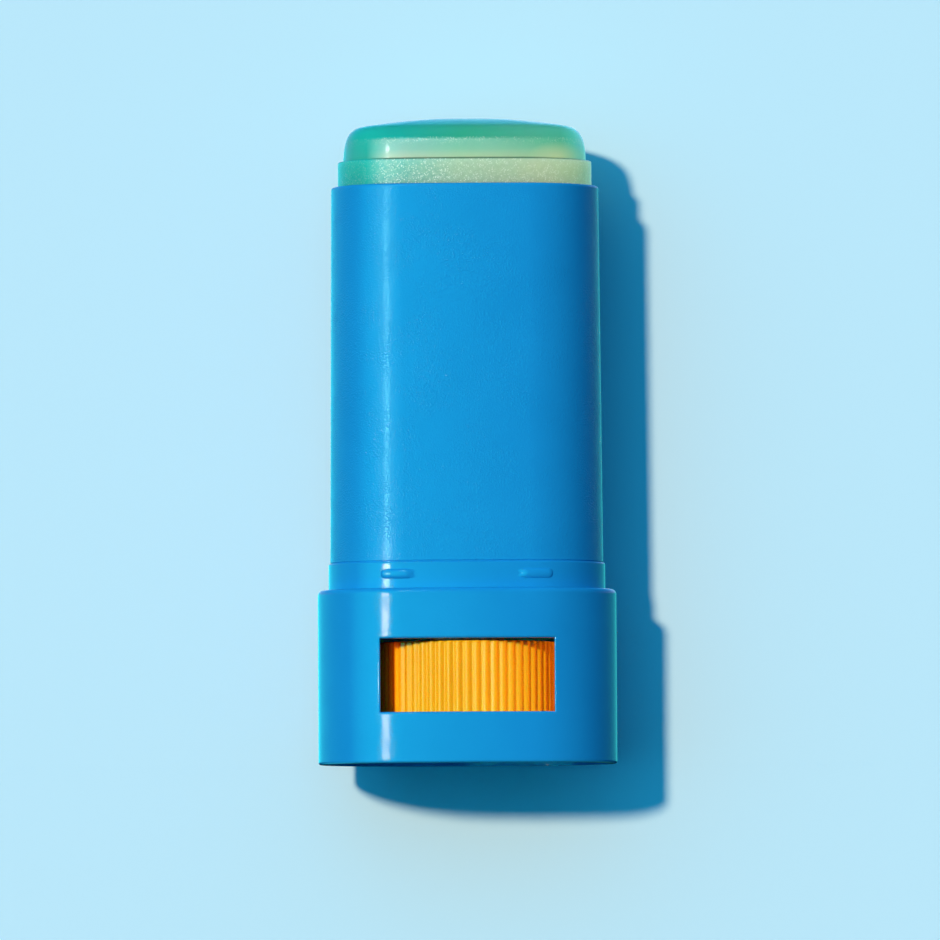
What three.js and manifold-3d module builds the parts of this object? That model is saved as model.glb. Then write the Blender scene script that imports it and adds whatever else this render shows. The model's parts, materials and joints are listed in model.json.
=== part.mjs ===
// A sunscreen stick: an oval barrel of balm that a thumbwheel in its base winds up and down.
// Millimetres, +Z up along the stick. The origin is the middle of the base's underside, and the
// front faces -Y. A left-handed screw turns with the wheel and lifts the carrier that holds the balm.

import * as THREE from 'three';
import { mergeVertices, toCreasedNormals } from 'three/addons/utils/BufferGeometryUtils.js';
import loadManifold from 'manifold-3d';

const wasm = await loadManifold();
wasm.setup();

// Clearances
const snugGap = 0.1; // between pieces pushed together and held
const slideGap = 0.15; // between pieces that slide or turn on each other
const playGap = 0.25; // end play along the axis, and room round the thread

// Oval section: every oval in the stick is parallel to the barrel's bore
const boreWidth = 30.9;
const boreDepth = 18.3;
const faceCrown = 0.3; // how far the front and back faces bulge
const endSteps = 16; // facets of one round end
const faceSteps = 4; // facets of one face

// Barrel
const barrelLength = 48.65; // from the top of the base to the rim
const rimWall = 0.68;
const rimRounding = 0.3;
const bodyWall = 1; // at the collar, thicker than at the rim
const floorThickness = 1.9;
const footWall = 0.85; // of the foot that goes into the base
const footBeadProud = 0.2;
const footBeadHeight = 0.8;
const collarProud = 0.22;
const collarHeight = 3.2; // above the top of the base
const collarSeat = 0.3; // how deep the collar sits in the top of the base
const collarChamfer = 0.2;

// Snap beads on the collar
const beadLength = 3.75;
const beadHeight = 1.15;
const beadProud = 0.3;
const beadSpacing = 16.9; // from middle to middle
const beadRise = 1.7; // above the top of the base

// Base
const baseStep = 1.33; // how far the base stands out past the collar
const baseTopRounding = 0.6;
const baseFootChamfer = 0.25;
const lipThickness = 1.4; // of the lip that the barrel's foot snaps under
const windowWidth = 20.9;
const windowHeight = 8.8;
const windowSill = 6.1; // above the underside of the base
const windowHeader = 6.1; // from the window to the top of the base
const plateThickness = 1.4;
const plateRecess = 0.5; // above the underside of the base
const plateLedge = 0.4;

// Thumbwheel
const wheelRecess = 0.8; // behind the front face of the base
const wheelTopGap = 0.25; // below the window's top edge
const wheelBelowSill = 0.5;
const ribCount = 60;
const ribDepth = 0.35;
const wheelRimWall = 1.2;
const wheelWeb = 1.6;
const hubRadius = 4.4;
const washerThickness = 0.5;

// Lead screw
const threadLead = 4; // lift for one turn of the wheel
const threadRoot = 2.4; // radius
const threadDepth = 0.8;
const threadWidth = 1.7; // along the axis at the root
const threadTipWidth = 0.9;
const threadSteps = 12; // facets of one turn
const flangeThickness = 1;
const flangeLap = 0.7; // how far the flange covers the floor round the seal
const shankRadius = 2.2; // to the corners of the hexagon
const shankShoulder = 0.2; // from the hexagon's corners out to the journal
const pinRadius = 1.5;
const clipThickness = 0.6;
const clipGroove = 0.4;
const clipReach = 1.3; // how far the clip stands out past the pin
const clipMouth = 0.5; // half the angle of its opening, in radians
const sealThickness = 1;

// Carrier, its nut and its wiper
const carrierFloor = 1.4;
const cupHeight = 10;
const cupWall = 1.2;
const socketWall = 1;
const nutHeight = 6;
const nutWall = 0.9;
const nutFlangeReach = 1;
const nutFlangeThickness = 0.9;
const nutGrip = 4.5; // thread left in the nut at full lift
const wiperRise = 2.4;
const wiperHeight = 1.2;
const wiperDepth = 0.6;

// Balm
const bandHeight = 3.05; // above the rim, as wound up here
const domeInset = 0.65; // from the band in to the dome
const domeHeight = 5.25;
const domeStraight = 1.3; // height of the dome's upright side
const domeSide = 2.3; // height of that side with its lean
const domeDraft = 0.35; // how far it leans in
const domeRounding = 2;
const domeSlope = 0.16; // where its rounded edge runs into the crown
const boreRoom = 0.5; // above the screw when wound right down

// Travel of the balm from where it stands here
const travelDown = 4.5;
const rimMargin = 2.4; // from the carrier's cup to the rim at full lift

// Facets of round pieces and edges
const roundSteps = 24;
const wheelSteps = 48;
const beadSteps = 10;
const sealSteps = 8;
const edgeSteps = 3;
const domeSteps = 4;
const crownSteps = 3;
const creaseAngle = Math.PI / 6; // facets that meet more gently are shaded as one surface

const cutOver = 1; // how far a cutting shape runs on past the face that it cuts

// Half-widths of the ovals, from the bore outwards
const boreHalf = boreWidth / 2;
const rimHalf = boreHalf + rimWall;
const bodyHalf = boreHalf + bodyWall;
const collarHalf = bodyHalf + collarProud;
const footHalf = boreHalf + footWall;
const footBeadHalf = footHalf + footBeadProud;
const baseHalf = collarHalf + baseStep;
const seatHalf = collarHalf + snugGap;
const cavityHalf = footBeadHalf + snugGap;
const rebateHalf = cavityHalf + plateLedge;
const lipHalf = footHalf + snugGap;

// Half-widths of the ovals, from the bore inwards
const bandHalf = boreHalf - slideGap;
const domeHalf = bandHalf - domeInset;
const cupHalf = boreHalf - playGap;
const cupInnerHalf = cupHalf - cupWall;
const wiperHalf = boreHalf - snugGap;
const wiperGrooveHalf = cupHalf - wiperDepth;
const balmFootHalf = cupInnerHalf - slideGap;

// Shape of the oval: round ends centred on X, and faces whose arcs share those ends' tangents
const ovalSpread = (boreWidth - boreDepth) / 2; // half-width less half-depth
const endCentre = ovalSpread + faceCrown;
const faceCentre = (endCentre ** 2 - faceCrown ** 2) / (2 * faceCrown);
const faceTurn = Math.atan2(endCentre, faceCentre); // half the angle of a face's arc
const quarterTurn = Math.PI / 2;
const fullTurn = Math.PI * 2;

// Radii round the axis
const wheelRadius = baseHalf - ovalSpread - wheelRecess;
const wheelWell = wheelRadius + slideGap;
const threadTip = threadRoot + threadDepth;
const journalRadius = shankRadius + shankShoulder;
const sealRadius = journalRadius + slideGap + sealThickness / 2;
const sealPocket = sealRadius + sealThickness / 2 + slideGap;
const flangeRadius = sealPocket + flangeLap;
const clipOuter = pinRadius + clipReach;
const clipPocket = clipOuter + slideGap;
const nutRadius = (threadTip + playGap + nutWall) / Math.cos(Math.PI / 6);
const nutFlangeRadius = nutRadius + nutFlangeReach;
const socketRadius = nutRadius + snugGap + socketWall;

// Heights, from the underside of the base up
const plateTop = plateRecess + plateThickness;
const windowTop = windowSill + windowHeight;
const baseTop = windowTop + windowHeader;
const wheelBottom = windowSill - wheelBelowSill;
const wheelTop = windowTop - wheelTopGap;
const washerBottom = wheelTop + slideGap;
const floorBottom = washerBottom + washerThickness + slideGap;
const floorTop = floorBottom + floorThickness;
const sealBottom = floorTop - sealThickness;
const flangeBottom = floorTop + slideGap;
const flangeTop = flangeBottom + flangeThickness;
const threadBottom = flangeBottom + flangeThickness / 2; // the thread runs out inside the flange
const rimTop = baseTop + barrelLength;
const carrierBottom = flangeTop + playGap + travelDown;
const travelUp = rimTop - carrierBottom - cupHeight - rimMargin;
const screwTop = carrierBottom + travelUp + nutGrip;
const clipTop = wheelBottom + clipThickness + 2 * playGap;
const clipBottom = clipTop - clipThickness;
const shankBottom = clipTop + slideGap;

// One point of the oval of a half-width, where its normal has an angle from +X.
function ovalPoint(angle, halfWidth) {
  const across = Math.cos(angle);
  const along = Math.sin(angle);
  if (Math.abs(along) > Math.cos(faceTurn)) {
    const faceRadius = faceCentre + halfWidth - ovalSpread;
    return [faceRadius * across, faceRadius * along - Math.sign(along) * faceCentre];
  }
  const endRadius = halfWidth - endCentre;
  return [Math.sign(across) * endCentre + endRadius * across, endRadius * along];
}

// The angles of the oval's facets: right end, back face, left end and front face.
function ovalAngles() {
  const endTurn = quarterTurn - faceTurn;
  const arcs = [
    { middle: 0, turn: endTurn, steps: endSteps },
    { middle: quarterTurn, turn: faceTurn, steps: faceSteps },
    { middle: 2 * quarterTurn, turn: endTurn, steps: endSteps },
    { middle: 3 * quarterTurn, turn: faceTurn, steps: faceSteps },
  ];
  return arcs.flatMap(({ middle, turn, steps }) =>
    Array.from({ length: steps }, (_, step) => middle - turn + (2 * turn * step) / steps),
  );
}

const facetAngles = ovalAngles();

// A ring of points on one oval at a height, drawn in towards the axis where shrink is below 1.
function ring(halfWidth, z, shrink = 1) {
  return facetAngles.map((angle) => {
    const [x, y] = ovalPoint(angle, halfWidth);
    return new THREE.Vector3(x * shrink, y * shrink, z);
  });
}

// A rounded corner of an oval's profile, from its side to its top, as rings.
function roundedEdge(halfWidth, top, radius, steps = edgeSteps, sweep = quarterTurn) {
  return Array.from({ length: steps + 1 }, (_, step) => {
    const angle = (sweep * step) / steps;
    const inset = radius * (1 - Math.cos(angle));
    return ring(halfWidth - inset, top - radius * (1 - Math.sin(angle)));
  });
}

// Walls between rings: each ring joined to the next, and the last to the first where closed.
function ringWalls(rings, closed) {
  const count = rings[0].length;
  const pairs = closed ? rings.length : rings.length - 1;
  const faces = [];
  for (let level = 0; level < pairs; level += 1) {
    const low = level * count;
    const high = ((level + 1) % rings.length) * count;
    for (let spot = 0; spot < count; spot += 1) {
      const next = (spot + 1) % count;
      faces.push(low + spot, low + next, high + next, low + spot, high + next, high + spot);
    }
  }
  return faces;
}

function geometryOf(points, faces) {
  const geometry = new THREE.BufferGeometry().setFromPoints(points);
  geometry.setIndex(faces);
  return geometry;
}

// A solid through rings, closed at both ends by a fan round a middle point.
function loft(rings, topZ = rings.at(-1)[0].z) {
  const points = rings.flat();
  const count = rings[0].length;
  const last = points.length - count;
  const bottomMiddle = points.length;
  const topMiddle = bottomMiddle + 1;
  const faces = ringWalls(rings, false);
  for (let spot = 0; spot < count; spot += 1) {
    const next = (spot + 1) % count;
    faces.push(bottomMiddle, next, spot, topMiddle, last + spot, last + next);
  }
  const middles = [new THREE.Vector3(0, 0, rings[0][0].z), new THREE.Vector3(0, 0, topZ)];
  return geometryOf([...points, ...middles], faces);
}

// A tube whose wall runs through rings and back to the first.
function tube(rings) {
  return geometryOf(rings.flat(), ringWalls(rings, true));
}

// A solid turned round Z, from [radius, height] points that start and end on the axis.
function turned(outline, steps = roundSteps) {
  const profile = outline.map(([radius, z]) => new THREE.Vector2(radius, z));
  return new THREE.LatheGeometry(profile, steps).rotateX(quarterTurn);
}

function cylinder(radius, bottom, top, steps = roundSteps) {
  return turned([[0, bottom], [radius, bottom], [radius, top], [0, top]], steps);
}

// A hexagonal bar, with its radius to the corners.
function hexBar(radius, bottom, top) {
  return cylinder(radius, bottom, top, 6);
}

// A flat outline made a plate, from z = 0 up.
function plate(shape, thickness) {
  const curveSegments = roundSteps / 2; // for half a turn
  return new THREE.ExtrudeGeometry(shape, { depth: thickness, bevelEnabled: false, curveSegments });
}

function toSolid(geometry) {
  const bare = new THREE.BufferGeometry();
  bare.setAttribute('position', geometry.getAttribute('position'));
  bare.setIndex(geometry.index);
  const merged = mergeVertices(bare);
  const corners = merged.index.array;
  const faces = [];
  for (let at = 0; at < corners.length; at += 3) {
    const [a, b, c] = corners.slice(at, at + 3);
    if (a !== b && b !== c && c !== a) faces.push(a, b, c);
  }
  const vertProperties = merged.attributes.position.array;
  return new wasm.Manifold(new wasm.Mesh({ numProp: 3, vertProperties, triVerts: new Uint32Array(faces) }));
}

function toGeometry(solid) {
  const { vertProperties, triVerts, numProp } = solid.getMesh();
  const geometry = new THREE.BufferGeometry();
  geometry.setAttribute('position', new THREE.BufferAttribute(vertProperties, numProp));
  geometry.setIndex(new THREE.BufferAttribute(triVerts, 1));
  return geometry;
}

// The first geometry with others joined to it and others then cut out of it.
function shaped(first, { joined = [], cut = [] } = {}) {
  let solid = toSolid(first);
  for (const geometry of joined) solid = solid.add(toSolid(geometry));
  for (const geometry of cut) solid = solid.subtract(toSolid(geometry));
  return toGeometry(solid);
}

// The screw's left-handed thread and core, from z = 0 up, grown by a gap on every side. The tooth's
// four corners climb in sections, and each turn's upper root joins the lower root of the next turn.
function threadedBar(length, gap = 0) {
  const root = threadRoot + gap;
  const tip = threadTip + gap;
  const rootReach = threadWidth / 2 + gap;
  const tipReach = threadTipWidth / 2 + gap;
  const corners = [[root, -rootReach], [tip, -tipReach], [tip, tipReach], [root, rootReach]];
  const stepRise = threadLead / threadSteps;
  const lastSection = Math.ceil(length / stepRise) + 2 * threadSteps;
  const points = [];
  for (let section = 0; section <= lastSection; section += 1) {
    const angle = (-fullTurn * section) / threadSteps;
    for (const [radius, rise] of corners) {
      const z = section * stepRise - threadLead + rise;
      const inside = z > 0 && z < length;
      const reach = inside ? radius : root;
      points.push(at(reach, angle, THREE.MathUtils.clamp(z, 0, length)));
    }
  }
  return geometryOf([...points, at(0, 0, 0), at(0, 0, length)], threadFaces(lastSection, corners.length));
}

function at(radius, angle, z) {
  return new THREE.Vector3(radius * Math.cos(angle), radius * Math.sin(angle), z);
}

function threadFaces(lastSection, count) {
  const bottomMiddle = (lastSection + 1) * count;
  const topMiddle = bottomMiddle + 1;
  const turn = threadSteps * count;
  const faces = [];
  const quad = (a, b, c, d) => faces.push(a, b, c, a, c, d);
  for (let section = 0; section < lastSection; section += 1) {
    const here = section * count;
    const next = here + count;
    for (let corner = 0; corner < count - 1; corner += 1) {
      quad(here + corner, here + corner + 1, next + corner + 1, next + corner);
    }
    const root = count - 1;
    if (section < threadSteps) faces.push(bottomMiddle, here, next);
    if (section < lastSection - threadSteps) quad(here + root, here + turn, next + turn, next + root);
    else faces.push(topMiddle, next + root, here + root);
  }
  return faces;
}

// A rounded bead on the front or back of the collar, lying along its face.
function snapBead(side, face) {
  const x = beadSpacing / 2;
  const endRadius = collarHalf - endCentre;
  const faceRadius = faceCentre + collarHalf - ovalSpread;
  const onEnd = x > faceRadius * Math.sin(faceTurn);
  const normal = Math.acos(onEnd ? (x - endCentre) / endRadius : x / faceRadius);
  const [, y] = ovalPoint(normal, collarHalf);
  const lean = side * face * (normal - quarterTurn);
  const flat = beadProud / (beadHeight / 2);
  return new THREE.CapsuleGeometry(beadHeight / 2, beadLength - beadHeight, edgeSteps, beadSteps)
    .rotateZ(quarterTurn)
    .scale(1, flat, 1)
    .rotateZ(lean)
    .translate(side * x, face * y, baseTop + beadRise);
}

function barrelGeometry() {
  const seat = baseTop - collarSeat + snugGap;
  const beadTop = baseTop - lipThickness - snugGap;
  const beadBottom = beadTop - footBeadHeight;
  const collarTop = baseTop + collarHeight;
  const wall = loft([
    ring(footHalf, floorBottom),
    ring(footHalf, beadBottom - footBeadProud),
    ring(footBeadHalf, beadBottom),
    ring(footBeadHalf, beadTop),
    ring(footHalf, beadTop),
    ring(footHalf, seat),
    ring(collarHalf, seat),
    ring(collarHalf, collarTop - collarChamfer),
    ring(collarHalf - collarChamfer, collarTop),
    ring(bodyHalf - collarChamfer / 2, collarTop),
    ring(bodyHalf - collarChamfer / 2, collarTop + collarChamfer),
    ring(bodyHalf, collarTop + 2 * collarChamfer),
    ...roundedEdge(rimHalf, rimTop, rimRounding),
    ring(boreHalf, rimTop),
    ring(boreHalf, floorTop),
  ]);
  const beads = [];
  for (const face of [-1, 1]) {
    for (const side of [-1, 1]) beads.push(snapBead(side, face));
  }
  const spindleHole = turned([
    [0, floorBottom - cutOver],
    [journalRadius + slideGap, floorBottom - cutOver],
    [journalRadius + slideGap, sealBottom - slideGap],
    [sealPocket, sealBottom - slideGap],
    [sealPocket, floorTop + cutOver],
    [0, floorTop + cutOver],
  ]);
  return shaped(wall, { joined: beads, cut: [spindleHole] });
}

function baseShellGeometry() {
  const ledge = plateTop + snugGap;
  const lipBottom = baseTop - lipThickness;
  const wall = tube([
    ring(baseHalf - baseFootChamfer, 0),
    ring(baseHalf, baseFootChamfer),
    ...roundedEdge(baseHalf, baseTop, baseTopRounding),
    ring(seatHalf, baseTop),
    ring(seatHalf, baseTop - collarSeat),
    ring(lipHalf, baseTop - collarSeat),
    ring(lipHalf, lipBottom),
    ring(cavityHalf, lipBottom),
    ring(cavityHalf, ledge),
    ring(rebateHalf, ledge),
    ring(rebateHalf, 0),
  ]);
  const windows = new THREE.BoxGeometry(windowWidth, 2 * baseHalf, windowHeight);
  windows.translate(0, 0, windowSill + windowHeight / 2);
  const well = cylinder(wheelWell, -cutOver, wheelTop + slideGap, wheelSteps);
  return shaped(wall, { cut: [windows, well] });
}

function basePlateGeometry() {
  const lid = loft([ring(rebateHalf - snugGap, 0), ring(rebateHalf - snugGap, plateThickness)]);
  const wellLid = cylinder(wheelWell - snugGap, 0, plateThickness, wheelSteps);
  const bossTop = wheelBottom - slideGap - plateRecess;
  const boss = cylinder(hubRadius, 0, bossTop);
  const pinHole = cylinder(pinRadius + slideGap, plateThickness, bossTop + cutOver);
  return shaped(lid, { joined: [wellLid, boss], cut: [pinHole] });
}

// One rib's outline, as how deep each point lies between crest and valley.
const ribOutline = [0, 0.3, 1, 0.3];

function thumbwheelGeometry() {
  const height = wheelTop - wheelBottom;
  const points = [];
  for (let rib = 0; rib < ribCount; rib += 1) {
    ribOutline.forEach((depth, spot) => {
      const angle = (fullTurn * (rib + spot / ribOutline.length)) / ribCount;
      const radius = wheelRadius - depth * ribDepth;
      points.push(new THREE.Vector2(radius * Math.cos(angle), radius * Math.sin(angle)));
    });
  }
  const rimInner = wheelRadius - ribDepth - wheelRimWall;
  const hollow = turned([
    [hubRadius, -cutOver],
    [rimInner, -cutOver],
    [rimInner, height - wheelWeb],
    [hubRadius, height - wheelWeb],
    [hubRadius, -cutOver],
  ]);
  const socket = hexBar(shankRadius + snugGap, -cutOver, height + cutOver);
  const clipRoom = cylinder(clipPocket, -cutOver, clipTop + slideGap - wheelBottom);
  return shaped(plate(new THREE.Shape(points), height), { cut: [hollow, socket, clipRoom] });
}

// The screw, with z = 0 inside its flange, where the thread starts.
function leadScrewGeometry() {
  const down = (z) => z - threadBottom;
  const grooveRadius = pinRadius - clipGroove;
  const shaft = turned([
    [0, down(plateTop + slideGap)],
    [pinRadius, down(plateTop + slideGap)],
    [pinRadius, down(clipBottom - snugGap)],
    [grooveRadius, down(clipBottom - snugGap)],
    [grooveRadius, down(wheelTop)],
    [journalRadius, down(wheelTop)],
    [journalRadius, down(flangeBottom)],
    [flangeRadius, down(flangeBottom)],
    [flangeRadius, down(flangeTop)],
    [0, down(flangeTop)],
  ]);
  const shank = hexBar(shankRadius, down(shankBottom), down(wheelTop) + shankShoulder);
  return shaped(shaft, { joined: [shank, threadedBar(screwTop - threadBottom)] });
}

function washerGeometry() {
  const shape = new THREE.Shape().absarc(0, 0, hubRadius, 0, fullTurn);
  shape.holes.push(new THREE.Path().absarc(0, 0, journalRadius + slideGap, 0, fullTurn, true));
  return plate(shape, washerThickness);
}

function clipGeometry() {
  const shape = new THREE.Shape().absarc(0, 0, clipOuter, clipMouth, fullTurn - clipMouth);
  shape.absarc(0, 0, pinRadius - clipGroove + snugGap, fullTurn - clipMouth, clipMouth, true);
  return plate(shape, clipThickness);
}

function sealGeometry() {
  return new THREE.TorusGeometry(sealRadius, sealThickness / 2, sealSteps, roundSteps);
}

// The carrier's cup, with z = 0 at its underside.
function carrierGeometry() {
  const grooveTop = wiperRise + wiperHeight + snugGap;
  const grooveBottom = wiperRise - snugGap;
  const cup = loft([
    ring(cupHalf, 0),
    ring(cupHalf, grooveBottom),
    ring(wiperGrooveHalf, grooveBottom),
    ring(wiperGrooveHalf, grooveTop),
    ring(cupHalf, grooveTop),
    ring(cupHalf, cupHeight),
    ring(cupInnerHalf, cupHeight),
    ring(cupInnerHalf, carrierFloor),
  ]);
  const socket = cylinder(socketRadius, 0, nutHeight);
  const nutRoom = hexBar(nutRadius + snugGap, -cutOver, nutHeight + cutOver);
  const flangeRoom = cylinder(nutFlangeRadius + snugGap, -cutOver, nutFlangeThickness + snugGap);
  return shaped(cup, { joined: [socket], cut: [nutRoom, flangeRoom] });
}

// The nut, with z = 0 at its underside, cut by the screw with room round the thread.
function liftNutGeometry() {
  const screwDrop = carrierBottom - threadBottom;
  const tap = threadedBar(screwDrop + nutHeight + threadLead, playGap).translate(0, 0, -screwDrop);
  const flange = cylinder(nutFlangeRadius, 0, nutFlangeThickness);
  return shaped(hexBar(nutRadius, 0, nutHeight), { joined: [flange], cut: [tap] });
}

function wiperGeometry() {
  return tube([
    ring(wiperGrooveHalf + snugGap, 0),
    ring(cupHalf, 0),
    ring(wiperHalf, wiperHeight / 2),
    ring(cupHalf, wiperHeight),
    ring(wiperGrooveHalf + snugGap, wiperHeight),
  ]);
}

// The balm, with z = 0 at the underside of the carrier that holds it.
function balmGeometry() {
  const bandTop = rimTop + bandHeight - carrierBottom;
  const domeTop = bandTop + domeHeight;
  const roundedSweep = quarterTurn - Math.atan(domeSlope);
  const roundedTop = bandTop + domeSide + domeRounding;
  const roundedHalf = domeHalf - domeDraft;
  const crownHalf = roundedHalf - domeRounding * (1 - Math.cos(roundedSweep));
  const crownBottom = roundedTop - domeRounding * (1 - Math.sin(roundedSweep));
  const crown = Array.from({ length: crownSteps }, (_, step) => {
    const shrink = 1 - (step + 1) / (crownSteps + 1);
    return ring(crownHalf, domeTop - (domeTop - crownBottom) * shrink ** 2, shrink);
  });
  const stick = loft([
    ring(balmFootHalf, carrierFloor + slideGap),
    ring(balmFootHalf, cupHeight + slideGap),
    ring(bandHalf, cupHeight + slideGap),
    ring(bandHalf, bandTop),
    ring(domeHalf, bandTop),
    ring(domeHalf, bandTop + domeStraight),
    ...roundedEdge(roundedHalf, roundedTop, domeRounding, domeSteps, roundedSweep),
    ...crown,
  ], domeTop);
  const boreTop = screwTop + travelDown + boreRoom - carrierBottom;
  const bore = turned([
    [0, 0],
    [socketRadius + slideGap, 0],
    [socketRadius + slideGap, nutHeight + slideGap],
    [threadTip + playGap, nutHeight + slideGap],
    [threadTip + playGap, boreTop],
    [0, boreTop],
  ]);
  return shaped(stick, { cut: [bore] });
}

const finishes = {
  blue: { color: 0x1b94d9, roughness: 0.38, metalness: 0 },
  orange: { color: 0xf2a11c, roughness: 0.42, metalness: 0 },
  balm: { color: 0x9ccfae, roughness: 0.25, metalness: 0, transparent: true, opacity: 0.85 },
  white: { color: 0xf1f2ee, roughness: 0.45, metalness: 0 },
  silicone: { color: 0xdfe6e6, roughness: 0.6, metalness: 0 },
  black: { color: 0x2a2b2d, roughness: 0.7, metalness: 0 },
  steel: { color: 0xb9bdc2, roughness: 0.3, metalness: 1 },
};

// A named piece of one finish, whose own z = 0 is set at a height.
function piece(name, geometry, finish, z = 0) {
  const material = new THREE.MeshStandardMaterial(finishes[finish]);
  const mesh = new THREE.Mesh(toCreasedNormals(geometry, creaseAngle), material);
  mesh.name = name;
  mesh.position.z = z;
  return mesh;
}

const housing = new THREE.Group();
housing.add(
  piece('base_shell', baseShellGeometry(), 'blue'),
  piece('base_plate', basePlateGeometry(), 'blue', plateRecess),
  piece('barrel', barrelGeometry(), 'blue'),
  piece('spindle_o_ring', sealGeometry(), 'black', sealBottom + sealThickness / 2),
);

const drive = new THREE.Group();
drive.add(
  piece('thumbwheel', thumbwheelGeometry(), 'orange', wheelBottom),
  piece('spindle_clip', clipGeometry(), 'steel', clipBottom),
  piece('thrust_washer', washerGeometry(), 'white', washerBottom),
  piece('lead_screw', leadScrewGeometry(), 'white', threadBottom),
);

const lift = new THREE.Group();
lift.position.z = carrierBottom;
lift.add(
  piece('carrier', carrierGeometry(), 'white'),
  piece('lift_nut', liftNutGeometry(), 'white'),
  piece('carrier_wiper', wiperGeometry(), 'silicone', wiperRise),
  piece('balm', balmGeometry(), 'balm'),
);

const stick = new THREE.Group();
stick.add(housing, drive, lift);

export default stick;
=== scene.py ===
"""The looks of a twist-up sunscreen stick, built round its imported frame.

Metres, +Z up along the stick, with the front towards -Y. The barrel, the base, its lid, the thumbwheel
and the balm are made again as smooth pieces. The works inside keep their solids and only get finishes.
"""

import json
import math

import bpy
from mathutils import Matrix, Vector


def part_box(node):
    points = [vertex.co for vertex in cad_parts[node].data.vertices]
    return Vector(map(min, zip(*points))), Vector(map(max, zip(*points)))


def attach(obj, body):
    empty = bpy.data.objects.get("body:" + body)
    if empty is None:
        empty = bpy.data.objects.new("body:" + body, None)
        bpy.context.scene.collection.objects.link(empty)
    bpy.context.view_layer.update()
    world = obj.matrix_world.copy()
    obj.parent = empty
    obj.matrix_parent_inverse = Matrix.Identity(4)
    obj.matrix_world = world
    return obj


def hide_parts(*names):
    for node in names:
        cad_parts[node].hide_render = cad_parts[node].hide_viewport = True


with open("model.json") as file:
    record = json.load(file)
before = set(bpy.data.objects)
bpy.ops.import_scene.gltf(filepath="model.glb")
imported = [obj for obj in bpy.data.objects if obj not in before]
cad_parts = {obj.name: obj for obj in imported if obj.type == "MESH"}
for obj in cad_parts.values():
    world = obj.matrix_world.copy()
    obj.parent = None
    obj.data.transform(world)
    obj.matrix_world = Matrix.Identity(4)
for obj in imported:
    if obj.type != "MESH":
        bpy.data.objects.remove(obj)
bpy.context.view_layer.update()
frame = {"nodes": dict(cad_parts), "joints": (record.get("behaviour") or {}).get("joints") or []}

MM = 0.001
QUARTER = math.pi / 2
FULL = math.pi * 2


def reach(node):
    """Half-width, lowest and highest point of a node that is centred on the axis."""
    low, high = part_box(node)
    return high.x, low.z, high.z


# Sizes from the frame
base_half, base_bottom, base_top = reach("base_shell")
collar_half, foot_bottom, rim_top = reach("barrel")
band_half, balm_bottom, dome_top = reach("balm")
plate_half, plate_bottom, boss_top = reach("base_plate")
cup_half, _, cup_top = reach("carrier")
nut_flange_radius, _, nut_top = reach("lift_nut")
seal_bottom = reach("spindle_o_ring")[1]
wheel_bottom, wheel_top = reach("thumbwheel")[1:]
washer_radius = reach("thrust_washer")[0]
screw_top = reach("lead_screw")[2]
base_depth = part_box("base_shell")[1].y
lift_joint = next(joint for joint in frame["joints"] if joint["name"] == "stick_lift")
travel_down = -lift_joint["range_m"][0]

# Clearances
snug_gap = 0.1 * MM
slide_gap = 0.15 * MM
socket_gap = 0.25 * MM
screw_gap = 0.5 * MM

# Oval section, which every moulding runs parallel to
oval_spread = base_half - base_depth
face_crown = 0.3 * MM
end_centre = oval_spread + face_crown
face_centre = (end_centre**2 - face_crown**2) / (2 * face_crown)
face_turn = math.atan2(end_centre, face_centre)

# Barrel
rim_wall = 0.68 * MM
foot_wall = 0.85 * MM
foot_bead_proud = 0.2 * MM
foot_bead_height = 0.8 * MM
collar_step = 0.22 * MM
collar_height = 3.2 * MM
collar_seat = 0.3 * MM
collar_rounding = 0.2 * MM
rim_rounding = 0.3 * MM
mouth_rounding = 0.14 * MM
groove_depth = 0.09 * MM
groove_width = 0.06 * MM
floor_thickness = 1.9 * MM
journal_hole = 2.55 * MM
seal_pocket = 3.7 * MM
seal_pocket_bottom = seal_bottom - slide_gap
bore_half = band_half + slide_gap
rim_half = bore_half + rim_wall
body_half = collar_half - collar_step
foot_half = bore_half + foot_wall
foot_bead_half = foot_half + foot_bead_proud
collar_top = base_top + collar_height

# Snap beads on the collar
bead_length = 3.75 * MM
bead_height = 1.15 * MM
bead_proud = 0.25 * MM
bead_fall = 0.6
bead_x = 8.45 * MM
bead_z = base_top + 1.7 * MM

# Base and its lid
base_top_rounding = 0.6 * MM
base_foot_rounding = 0.25 * MM
lip_thickness = 1.4 * MM
plate_thickness = 1.4 * MM
plate_rounding = 0.2 * MM
window_half = 10.45 * MM
window_sill = 6.1 * MM
window_top = 14.9 * MM
window_rounding = 0.28 * MM
window_middle = (window_sill + window_top) / 2
seat_half = collar_half + snug_gap
lip_half = foot_half + snug_gap
cavity_half = foot_bead_half + snug_gap
rebate_half = plate_half + snug_gap

# Thumbwheel
wheel_recess = 0.8 * MM
wheel_radius = base_depth - wheel_recess
wheel_well = wheel_radius + slide_gap
rib_count = 60
rib_depth = 0.35 * MM
valley_softness = 0.05
wheel_rim_wall = 1.2 * MM
wheel_web = 1.6 * MM
wheel_edge = 0.22 * MM
wheel_bore = 2.3 * MM
clip_pocket = 2.95 * MM
clip_pocket_depth = 1.25 * MM
boss_hole = 1.65 * MM
boss_radius = washer_radius

# Balm
band_height = 3.05 * MM
band_step = 0.65 * MM
band_rounding = 0.16 * MM
band_top = rim_top + band_height
dome_half = band_half - band_step
dome_foot_rounding = 0.12 * MM
dome_side_pull = (0.15 * MM, 2.3 * MM)
dome_crown_half = 12.35 * MM
dome_crown_rise = 0.97 * MM
dome_crown_pull = 1.9 * MM
cup_wall = 1.35 * MM
balm_foot_half = cup_half - cup_wall
balm_bore = 3.45 * MM
balm_bore_top = screw_top + travel_down + screw_gap
socket_radius = nut_flange_radius + socket_gap

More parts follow.
